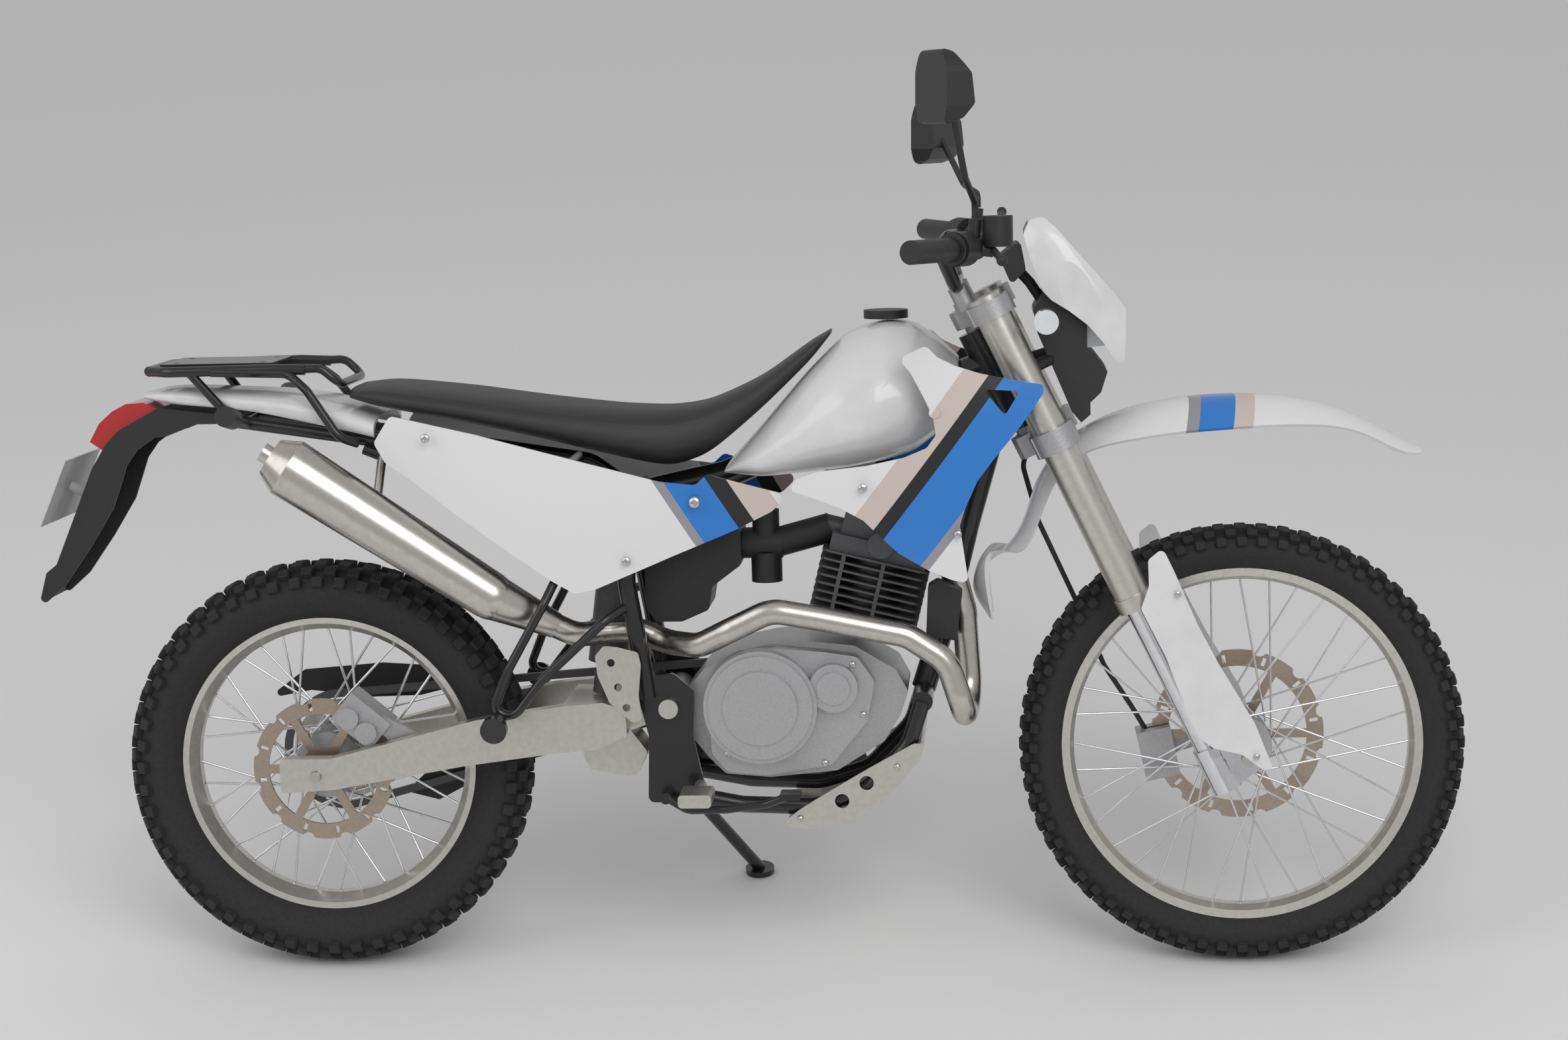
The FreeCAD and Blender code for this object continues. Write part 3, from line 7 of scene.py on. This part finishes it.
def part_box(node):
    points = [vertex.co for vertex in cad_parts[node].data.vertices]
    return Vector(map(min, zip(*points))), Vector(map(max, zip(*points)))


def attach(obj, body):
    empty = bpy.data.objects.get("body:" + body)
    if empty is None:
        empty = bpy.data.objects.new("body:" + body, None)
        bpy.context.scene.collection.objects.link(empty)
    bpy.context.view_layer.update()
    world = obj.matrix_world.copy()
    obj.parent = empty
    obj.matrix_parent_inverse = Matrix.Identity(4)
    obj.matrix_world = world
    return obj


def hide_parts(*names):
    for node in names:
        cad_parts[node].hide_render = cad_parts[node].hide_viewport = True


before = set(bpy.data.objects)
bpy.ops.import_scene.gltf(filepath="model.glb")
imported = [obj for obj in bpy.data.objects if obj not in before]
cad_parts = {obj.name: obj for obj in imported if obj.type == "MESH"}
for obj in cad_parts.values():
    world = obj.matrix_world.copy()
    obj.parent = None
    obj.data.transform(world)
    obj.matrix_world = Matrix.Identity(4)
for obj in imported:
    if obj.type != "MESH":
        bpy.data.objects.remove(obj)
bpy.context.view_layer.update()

# ---- tyres --------------------------------------------------------------------------------------
# Knobbly rubber tyres: a rounded casing with rows of square blocks, moulded in one piece.
# Blocks stand in staggered pairs across the crown, with a row on each shoulder.
# Sizes are millimetres on the upright bike, X forward, Y left, Z up, with the rear axle over the origin.
LEAN = math.radians(12.0)             # the parked bike's lean to its left
WHEELBASE = 1428.0
REAR_R, FRONT_R = 323.0, 342.0        # outer radii of the tyres
REAR_WIDTH, FRONT_WIDTH = 116.0, 84.0
REAR_RIM_R, FRONT_RIM_R = 242.5, 280.5
REAR_BLOCKS, FRONT_BLOCKS = 52, 64    # blocks in one row round the tyre
BEAD_DEPTH = 8.0                      # the beads lie this far inside the rim's edge
KNOB = 11.0                           # a block's height above the casing
KNOB_ROOT = 2.0                       # and the depth of its foot in it
KNOB_TAPER = 0.86                     # top of a block over its foot
KNOB_SHARE = 0.56                     # of the pitch round the tyre that a block takes
SHOULDER_ROOM = 6.0                   # casing narrower than the tyre, for the shoulder blocks
BLOCK_ROWS = [                        # middle across the arch, stagger in pitches, half width
    (-0.14, 0.0, 0.11), (0.14, 0.0, 0.11), (-0.36, 0.5, 0.1), (0.36, 0.5, 0.1),
    (-0.58, 0.0, 0.09), (0.58, 0.0, 0.09)]

low, high = (np.array(c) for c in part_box("rear_tyre"))
REAR_AXLE = (low + high) / 2
LEAN_TURN = np.array([
    [1, 0, 0], [0, math.cos(LEAN), math.sin(LEAN)], [0, -math.sin(LEAN), math.cos(LEAN)]])


def parked(points):
    """Upright millimetres as metres on the leaning bike: turned about x, then set on the rear tyre's centre."""
    return (np.asarray(points, float) - (0, 0, REAR_R)) @ LEAN_TURN.T / 1000 + REAR_AXLE


def grid_piece(name, rows, closed_u=False, closed_v=False, caps=False):
    """A smooth mesh over a (u, v, 3) grid of points, joined round where asked, with end caps."""
    count_u, count_v = rows.shape[:2]
    index = np.arange(count_u * count_v).reshape(count_u, count_v)
    if closed_u:
        index = np.vstack([index, index[:1]])
    if closed_v:
        index = np.hstack([index, index[:, :1]])
    quads = np.stack([index[:-1, :-1], index[1:, :-1], index[1:, 1:], index[:-1, 1:]], -1)
    faces = quads.reshape(-1, 4).tolist()
    if caps:
        last = (count_u - 1) * count_v
        faces += [list(range(count_v)), list(range(last, last + count_v))[::-1]]
    mesh = bpy.data.meshes.new(name)
    mesh.from_pydata(rows.reshape(-1, 3).tolist(), [], faces)
    mesh.validate()
    mesh.shade_smooth()
    piece = bpy.data.objects.new(name, mesh)
    bpy.context.scene.collection.objects.link(piece)
    return piece


def finish_of(name, colour, rough, metal=0.0, coat=0.0, grain=60.0, depth=0.05, vary=0.06, bands=None):
    """A finish from one noise: mottled roughness, a tone up to DARKER, fine bump, and bands where given.

    bands is the turn about y, the start in metres, the length in metres, and pairs of share and colour.
    """
    DARKER = 0.82
    material = bpy.data.materials.new(name)
    material.use_nodes = True
    tree = material.node_tree
    shader = tree.nodes["Principled BSDF"]
    shader.inputs["Metallic"].default_value = metal
    shader.inputs["Coat Weight"].default_value = coat
    place = tree.nodes.new("ShaderNodeTexCoord")
    noise = tree.nodes.new("ShaderNodeTexNoise")
    noise.inputs["Scale"].default_value = grain
    noise.inputs["Detail"].default_value = 6
    tree.links.new(place.outputs["Object"], noise.inputs["Vector"])
    spread = tree.nodes.new("ShaderNodeMapRange")
    spread.inputs["To Min"].default_value = max(0.02, rough - vary)
    spread.inputs["To Max"].default_value = rough + vary
    tree.links.new(noise.outputs["Fac"], spread.inputs["Value"])
    tree.links.new(spread.outputs["Result"], shader.inputs["Roughness"])
    bump = tree.nodes.new("ShaderNodeBump")
    bump.inputs["Strength"].default_value = depth
    bump.inputs["Distance"].default_value = 0.001
    tree.links.new(noise.outputs["Fac"], bump.inputs["Height"])
    tree.links.new(bump.outputs["Normal"], shader.inputs["Normal"])
    # A colour mix keeps its two colours in inputs 6 and 7, and its result in output 2.
    tone = tree.nodes.new("ShaderNodeMix")
    tone.data_type = "RGBA"
    tone.inputs[6].default_value = (*colour, 1)
    tone.inputs[7].default_value = (*[c * DARKER for c in colour], 1)
    soft = tree.nodes.new("ShaderNodeMapRange")
    soft.inputs["From Min"].default_value = 0.35
    soft.inputs["From Max"].default_value = 0.9
    tree.links.new(noise.outputs["Fac"], soft.inputs["Value"])
    tree.links.new(soft.outputs["Result"], tone.inputs[0])
    painted = tone.outputs[2]
    if bands:
        turn, start, length, stops = bands
        mapping = tree.nodes.new("ShaderNodeMapping")
        mapping.vector_type = "TEXTURE"
        mapping.inputs["Location"].default_value = start
        mapping.inputs["Rotation"].default_value = (-LEAN, turn, 0)
        mapping.inputs["Scale"].default_value = (length, 1, 1)
        split = tree.nodes.new("ShaderNodeSeparateXYZ")
        ramp = tree.nodes.new("ShaderNodeValToRGB")
        ramp.color_ramp.interpolation = "CONSTANT"
        while len(ramp.color_ramp.elements) < len(stops):
            ramp.color_ramp.elements.new(0.5)
        for element, (where, shade) in zip(ramp.color_ramp.elements, stops):
            element.position = where
            element.color = (*shade, 1)
        tree.links.new(place.outputs["Object"], mapping.inputs["Vector"])
        tree.links.new(mapping.outputs["Vector"], split.inputs["Vector"])
        tree.links.new(split.outputs["X"], ramp.inputs["Fac"])
        painted = ramp.outputs["Color"]
    tree.links.new(painted, shader.inputs["Base Color"])
    return material


def crown_line(s, radius, width, rim_r):
    """Radius and side offset of the casing at s, -1 to 1 from bead to bead: a superellipse arch."""
    angle = s * math.pi / 2
    across = width / 2 * np.sign(np.sin(angle)) * np.abs(np.sin(angle)) ** 0.8
    base = rim_r - BEAD_DEPTH
    up = (radius - base) * np.abs(np.cos(angle)) ** 0.62
    pull = 1 - 0.42 * np.abs(s) ** 9
    return base + up, across * pull


def on_wheel(radius, across, angle, centre):
    """Points of a wheel from radius, side offset and turn about its axle."""
    along = centre[0] + radius * np.cos(angle)
    height = centre[2] + radius * np.sin(angle)
    return np.stack([along, across + 0 * angle, height], -1)


def knobbly(name, body, centre, radius, width, rim_r, count):
    """Casing as a ring of arches, and every block as a tapered box set along the arch's normal."""
    arch = (radius - KNOB, width - SHOULDER_ROOM, rim_r)
    s = np.linspace(-1, 1, 41)
    turn = np.linspace(0, 2 * math.pi, 181)[:-1]
    r, y = crown_line(s, *arch)
    r, y = np.append(r, [rim_r - BEAD_DEPTH]), np.append(y, [0.0])
    casing = on_wheel(r[None, :], y[None, :], turn[:, None], centre)
    casing_points = parked(casing.reshape(-1, 3)).reshape(casing.shape)
    tyre = grid_piece(name + "_casing", casing_points, closed_u=True, closed_v=True)
    corners = np.array([(-1, -1), (1, -1), (1, 1), (-1, 1)], float)
    points, faces = [], []
    for middle, offset, half in BLOCK_ROWS:
        at = (np.arange(count) + offset) * 2 * math.pi / count
        for shrink, lift in ((1.0, -KNOB_ROOT), (KNOB_TAPER, KNOB)):
            across = middle + corners[:, 0] * half * shrink
            base_r, base_y = crown_line(across, *arch)
            next_r, next_y = crown_line(across + 0.01, *arch)
            slope = np.stack([next_r - base_r, next_y - base_y], -1)
            normal = np.stack([slope[:, 1], -slope[:, 0]], -1) / np.linalg.norm(slope, axis=1)[:, None]
            angle = at[:, None] + corners[None, :, 1] * shrink * math.pi / count * KNOB_SHARE
            block_r = (base_r + normal[:, 0] * lift)[None, :]
            block_y = (base_y + normal[:, 1] * lift)[None, :]
            points.append(on_wheel(block_r, block_y, angle, centre))
        before = sum(p.size // 3 for p in points[:-2])
        foot = np.arange(count)[:, None] * 4 + np.arange(4) + before
        top = foot + count * 4
        for k in range(4):
            n = (k + 1) % 4
            faces.append(np.stack([foot[:, k], foot[:, n], top[:, n], top[:, k]], -1))
        faces.append(top)
        faces.append(foot[:, ::-1])
    cloud = parked(np.concatenate([p.reshape(-1, 3) for p in points]))
    mesh = bpy.data.meshes.new(name + "_blocks")
    mesh.from_pydata(cloud.tolist(), [], np.concatenate(faces).tolist())
    blocks = bpy.data.objects.new(name + "_blocks", mesh)
    bpy.context.scene.collection.objects.link(blocks)
    bevel = blocks.modifiers.new("edge", "BEVEL")
    bevel.width = 0.0012
    for piece in (tyre, blocks):
        piece.data.materials.append(rubber)
        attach(piece, body)
    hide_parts(name)


rubber = finish_of("tyre_rubber", (0.022, 0.022, 0.023), 0.78, grain=180, depth=0.5, vary=0.1)
knobbly("front_tyre", "front_wheel", (WHEELBASE, 0, FRONT_R), FRONT_R, FRONT_WIDTH, FRONT_RIM_R, FRONT_BLOCKS)
knobbly("rear_tyre", "rear_wheel", (0, 0, REAR_R), REAR_R, REAR_WIDTH, REAR_RIM_R, REAR_BLOCKS)

# ---- saddle -------------------------------------------------------------------------------------
# A long two-up saddle: grained black vinyl over foam on a plastic base, its nose climbing the tank.
# The cover is pulled down to the base, so the sides draw in and the top is crowned.
vinyl = finish_of("saddle_vinyl", (0.028, 0.027, 0.027), 0.5, grain=900, depth=0.35, vary=0.08)
LOFT_RINGS = 90
LOFT_SIDES = 64
LOFT_EASINGS = 12                     # passes that round off the steps between stations
SEAM_HEIGHT, SEAM_SPREAD = 0.55, 0.06
saddle_line = np.array([              # x, base height, top height, half width
    (72, 903, 921, 80), (120, 889, 926, 104), (240, 867, 913, 114), (360, 839, 895, 114),
    (480, 807, 881, 108), (560, 789, 878, 98), (618, 807, 886, 88), (700, 875, 922, 78),
    (776, 947, 976, 64), (806, 984, 992, 48)], float)


def crowned_loft(stations, wide_power, tall_power, narrow, ridge):
    """Superellipse rings along x, their sizes eased between stations.

    narrow draws in the top of each ring, and ridge is the height of a seam along both sides.
    """
    steps = np.linspace(0, len(stations) - 1, LOFT_RINGS)
    x, base, top, half = (np.interp(steps, np.arange(len(stations)), stations[:, k]) for k in range(4))
    for _ in range(LOFT_EASINGS):
        for row in (x, base, top, half):
            row[1:-1] = (row[:-2] + row[1:-1] * 2 + row[2:]) / 4
    turn = np.linspace(0, 2 * math.pi, LOFT_SIDES + 1)[:-1]
    side = np.sign(np.cos(turn)) * np.abs(np.cos(turn)) ** wide_power
    rise = np.sign(np.sin(turn)) * np.abs(np.sin(turn)) ** tall_power
    seam = 1 + ridge * np.exp(-((rise - SEAM_HEIGHT) / SEAM_SPREAD) ** 2)
    side = side * seam * (1 - narrow * np.maximum(rise, 0))
    along = np.repeat(x[:, None], LOFT_SIDES, 1)
    height = (base + top)[:, None] / 2 + (top - base)[:, None] / 2 * rise
    rings = np.stack([along, half[:, None] * side, height], -1)
    return parked(rings.reshape(-1, 3)).reshape(rings.shape)


saddle_rings = crowned_loft(saddle_line, 0.55, 0.75, 0.06, 0.02)
saddle = grid_piece("saddle_cover", saddle_rings, closed_v=True, caps=True)
saddle.data.materials.append(vinyl)
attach(saddle, "chassis")
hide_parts("seat")

# ---- fuel tank ----------------------------------------------------------------------------------
# A glossy white moulded tank, widest at the rider's knees, its crown drawn in under the cap.
# It is lofted from rings along the bike, like the saddle, with no seam.
WHITE = (0.78, 0.78, 0.78)
white = finish_of("white_moulding", WHITE, 0.22, coat=0.4, grain=14, depth=0.01, vary=0.04)
tank_line = np.array([                # x, base height, top height, half width
    (646, 780, 792, 84), (700, 772, 850, 124), (770, 778, 930, 146), (830, 784, 988, 152),
    (890, 794, 1007, 150), (935, 808, 1002, 134), (970, 834, 978, 100), (1002, 862, 948, 52)], float)
tank_rings = crowned_loft(tank_line, 0.66, 0.72, 0.3, 0.0)
tank = grid_piece("tank_shell", tank_rings, closed_v=True, caps=True)
tank.data.materials.append(white)
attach(tank, "chassis")
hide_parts("fuel_tank")

# ---- bodywork -----------------------------------------------------------------------------------
# Glossy white injection mouldings, screwed to tank and subframe, with plain racing stripes under lacquer.
# Stripes are bands across a line that starts at a point and is turned about the bike's width.
BLUE, BLACK = (0.02, 0.2, 0.62), (0.01, 0.01, 0.012)
GREY, SAND = (0.3, 0.3, 0.33), (0.62, 0.53, 0.5)


def striped(name, start, tilt, length, stops):
    """The white moulding's finish, banded along a line from start, tilted in degrees, length in metres."""
    bands = (math.radians(tilt), tuple(parked([start])[0]), length, stops)
    return finish_of(name, WHITE, 0.22, coat=0.4, grain=14, depth=0.01, bands=bands)


def dress(material, *nodes):
    """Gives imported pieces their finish."""
    for node in nodes:
        piece = bpy.data.objects[node]
        piece.data.materials.clear()
        piece.data.materials.append(material)


shroud = striped("shroud_stripes", (800, 0, 760), 38, 0.34, [
    (0.0, WHITE), (0.1, SAND), (0.2, BLACK), (0.26, BLUE), (0.46, GREY), (0.5, WHITE), (0.82, BLUE),
    (0.9, WHITE)])
panel = striped("panel_stripes", (330, 0, 800), -32, 0.42, [
    (0.0, WHITE), (0.44, GREY), (0.47, BLUE), (0.6, BLACK), (0.66, SAND), (0.76, WHITE), (0.88, BLUE),
    (0.95, WHITE)])
fender = striped("fender_stripes", (1160, 0, 800), 12, 0.56, [
    (0.0, WHITE), (0.3, GREY), (0.33, BLUE), (0.42, SAND), (0.47, WHITE)])
dress(white, "tail_fairing", "headlight_cowl", "fork_guards")
dress(fender, "front_fender")
dress(shroud, "tank_shrouds")
dress(panel, "side_panels")

# ---- screws ---------------------------------------------------------------------------------------
# Domed button heads with a sunk socket, in stainless steel, all facing right. They hold the side panel,
# the shroud and the engine's cover, the skid plate, and the fork guard.
SCREW_SIDES = 24
HEAD_OUTLINE = np.array([             # radius and height, as shares of the head's radius
    (1.0, 0.0), (1.0, 0.25), (0.86, 0.5), (0.5, 0.66), (0.42, 0.3), (0.0, 0.3)])


def screw_heads(name, body, places):
    """One mesh of heads at x, y, z and radius: the outline spun about each screw's axis, along y."""
    turn = np.linspace(0, 2 * math.pi, SCREW_SIDES + 1)[:-1]
    shape = (len(HEAD_OUTLINE), SCREW_SIDES)
    grid = np.arange(shape[0] * shape[1]).reshape(shape)
    points, faces = [], []
    for count, (x, y, z, size) in enumerate(places):
        out = size * HEAD_OUTLINE[:, None, 0]
        depth = np.broadcast_to(y - size * HEAD_OUTLINE[:, None, 1], shape)
        head = np.stack([x + out * np.cos(turn), depth, z + out * np.sin(turn)], -1)
        index = count * grid.size + grid
        wrap = np.hstack([index, index[:, :1]])
        quads = np.stack([wrap[:-1, :-1], wrap[1:, :-1], wrap[1:, 1:], wrap[:-1, 1:]], -1)
        faces += quads.reshape(-1, 4).tolist()
        faces.append(index[0].tolist())
        points.append(head.reshape(-1, 3))
    mesh = bpy.data.meshes.new(name)
    mesh.from_pydata(parked(np.concatenate(points)).tolist(), [], faces)
    mesh.validate()
    screws = bpy.data.objects.new(name, mesh)
    bpy.context.scene.collection.objects.link(screws)
    mesh.materials.append(finish_of(name + "_steel", (0.6, 0.6, 0.6), 0.3, metal=1.0, grain=200))
    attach(screws, body)


screw_heads("frame_screws", "chassis", [
    (606, -151, 748, 9), (500, -151, 660, 7), (200, -144, 850, 7), (1000, -189, 700, 6),
    (860, -184, 770, 7), (640, -99, 350, 5), (632, -99, 462, 5), (700, -99, 508, 5),
    (835, -99, 488, 5), (850, -99, 410, 5), (790, -99, 335, 5)])
screw_heads("plate_screws", "chassis", [(750, -108, 250, 5), (900, -108, 330, 5)])
screw_heads("guard_screws", "steering", [(1324, -150, 600, 5), (1440, -150, 352, 5)])

# ---- black parts --------------------------------------------------------------------------------
# Grained polypropylene for guards and housings, with the same grain on the rubber grips and hose,
# and gloss powder coat on the welded steel tubes.
plastic = finish_of("black_plastic", (0.02, 0.02, 0.021), 0.48, grain=420, depth=0.25, vary=0.1)
enamel = finish_of("black_enamel", (0.012, 0.012, 0.013), 0.26, coat=0.3, grain=50, depth=0.03)
dress(plastic, "rear_mudguard", "chain_guard", "canister", "headlight_housing", "instrument_panel",
      "fuel_cap", "mirrors", "intake", "hand_controls", "hand_grips", "front_brake_hose", "rear_indicators")
dress(enamel, "main_frame", "subframe", "luggage_rack", "side_stand", "passenger_footpegs", "handlebar",
      "foot_levers")

# ---- metal parts --------------------------------------------------------------------------------
# Cast alloy for engine, hubs, clamps and calipers, satin alloy for fork tubes, swingarm, rims and plate.
# Exhaust and axles are stainless, fork sliders and spokes bright, discs brownish, and the finned
# cylinder, the shock and the chain dark.
cast = finish_of("cast_alloy", (0.5, 0.5, 0.51), 0.46, metal=0.85, grain=300, depth=0.3, vary=0.08)
alloy = finish_of("satin_alloy", (0.66, 0.64, 0.6), 0.32, metal=0.9, grain=120, depth=0.06)
stainless = finish_of("stainless", (0.62, 0.59, 0.56), 0.27, metal=1.0, grain=90, depth=0.05, vary=0.08)
bright = finish_of("hard_chrome", (0.8, 0.8, 0.82), 0.1, metal=1.0, grain=60, depth=0.01, vary=0.03)
bronze = finish_of("disc_steel", (0.48, 0.4, 0.33), 0.34, metal=1.0, grain=200, depth=0.06)
fins = finish_of("dark_fins", (0.12, 0.12, 0.125), 0.5, metal=0.6, grain=260, depth=0.2)
dress(cast, "engine_cases", "front_hub", "rear_hub", "triple_clamps", "front_caliper", "rear_caliper")
dress(fins, "cylinder", "rear_shock", "chain")
dress(alloy, "fork_tubes", "swingarm", "skid_plate", "front_rim", "rear_rim", "rider_footpegs")
dress(stainless, "exhaust_pipe", "muffler", "rear_sprocket", "front_axle", "rear_axle")
dress(bright, "fork_sliders", "front_spokes", "rear_spokes")
dress(bronze, "front_brake_disc", "rear_brake_disc")

# ---- lamps and plate ----------------------------------------------------------------------------
# Clear and red acrylic lenses, drawn opaque, and a blank plate of painted sheet.
clear = finish_of("clear_acrylic", (0.75, 0.78, 0.8), 0.1, coat=0.8, grain=30, depth=0.02, vary=0.03)
red = finish_of("red_acrylic", (0.5, 0.01, 0.012), 0.15, coat=0.8, grain=40, depth=0.02, vary=0.03)
dress(clear, "headlight_lens", "front_indicators")
dress(red, "tail_light")
dress(finish_of("plate_paint", (0.6, 0.6, 0.6), 0.4, grain=50, depth=0.03), "number_plate")

# ---- floor, light and camera --------------------------------------------------------------------
# A pale studio floor under soft overhead light, seen from the bike's right and from above.
# Places are metres in the parked bike's own frame.
FLOOR_HALF = 30
WORLD_LIGHT = 0.5
LAMP_SIZE = 3.0
LAMP_AIM = Vector((0, 0, 0.5))
CAMERA_AT = (0.407548, -4.202123, 2.180808)
CAMERA_AROUND, CAMERA_ABOVE, CAMERA_ROLL = (math.radians(a) for a in (4.8388, 20.0897, -2.4451))

floor_mesh = bpy.data.meshes.new("floor")
floor_corners = [(x * FLOOR_HALF, y * FLOOR_HALF, 0) for x, y in ((-1, -1), (1, -1), (1, 1), (-1, 1))]
floor_mesh.from_pydata(floor_corners, [], [(0, 1, 2, 3)])
floor = bpy.data.objects.new("floor", floor_mesh)
bpy.context.scene.collection.objects.link(floor)
floor.data.materials.append(finish_of("floor_paper", (0.9, 0.9, 0.9), 0.8, grain=900, depth=0.0))

world = bpy.data.worlds.new("studio")
world.use_nodes = True
world.node_tree.nodes["Background"].inputs["Color"].default_value = (1, 1, 1, 1)
world.node_tree.nodes["Background"].inputs["Strength"].default_value = WORLD_LIGHT
bpy.context.scene.world = world

for name, where, power in (("key", (1.5, -3.5, 4.0), 75), ("fill", (-3.0, -2.0, 3.0), 30)):
    lamp = bpy.data.lights.new(name, "AREA")
    lamp.size = LAMP_SIZE
    lamp.energy = power
    light = bpy.data.objects.new(name, lamp)
    light.location = where
    aim = LAMP_AIM - light.location
    light.rotation_euler = aim.to_track_quat("-Z", "Y").to_euler()
    bpy.context.scene.collection.objects.link(light)

# The camera's back points from the bike to it, and its right and up are rolled from level about that.
back = np.array([
    math.sin(CAMERA_AROUND) * math.cos(CAMERA_ABOVE), -math.cos(CAMERA_AROUND) * math.cos(CAMERA_ABOVE),
    math.sin(CAMERA_ABOVE)])
level_right = np.array([math.cos(CAMERA_AROUND), math.sin(CAMERA_AROUND), 0.0])
level_up = np.cross(back, level_right)
right = math.cos(CAMERA_ROLL) * level_right + math.sin(CAMERA_ROLL) * level_up
up = math.cos(CAMERA_ROLL) * level_up - math.sin(CAMERA_ROLL) * level_right
lens = bpy.data.cameras.new("camera")
lens.lens = 64.5
lens.sensor_width = 36.0
camera = bpy.data.objects.new("camera", lens)
camera.matrix_world = Matrix(np.vstack([np.column_stack([right, up, back, CAMERA_AT]), (0, 0, 0, 1)]).tolist())
bpy.context.scene.collection.objects.link(camera)
bpy.context.scene.camera = camera
bpy.context.scene.view_settings.view_transform = "Standard"
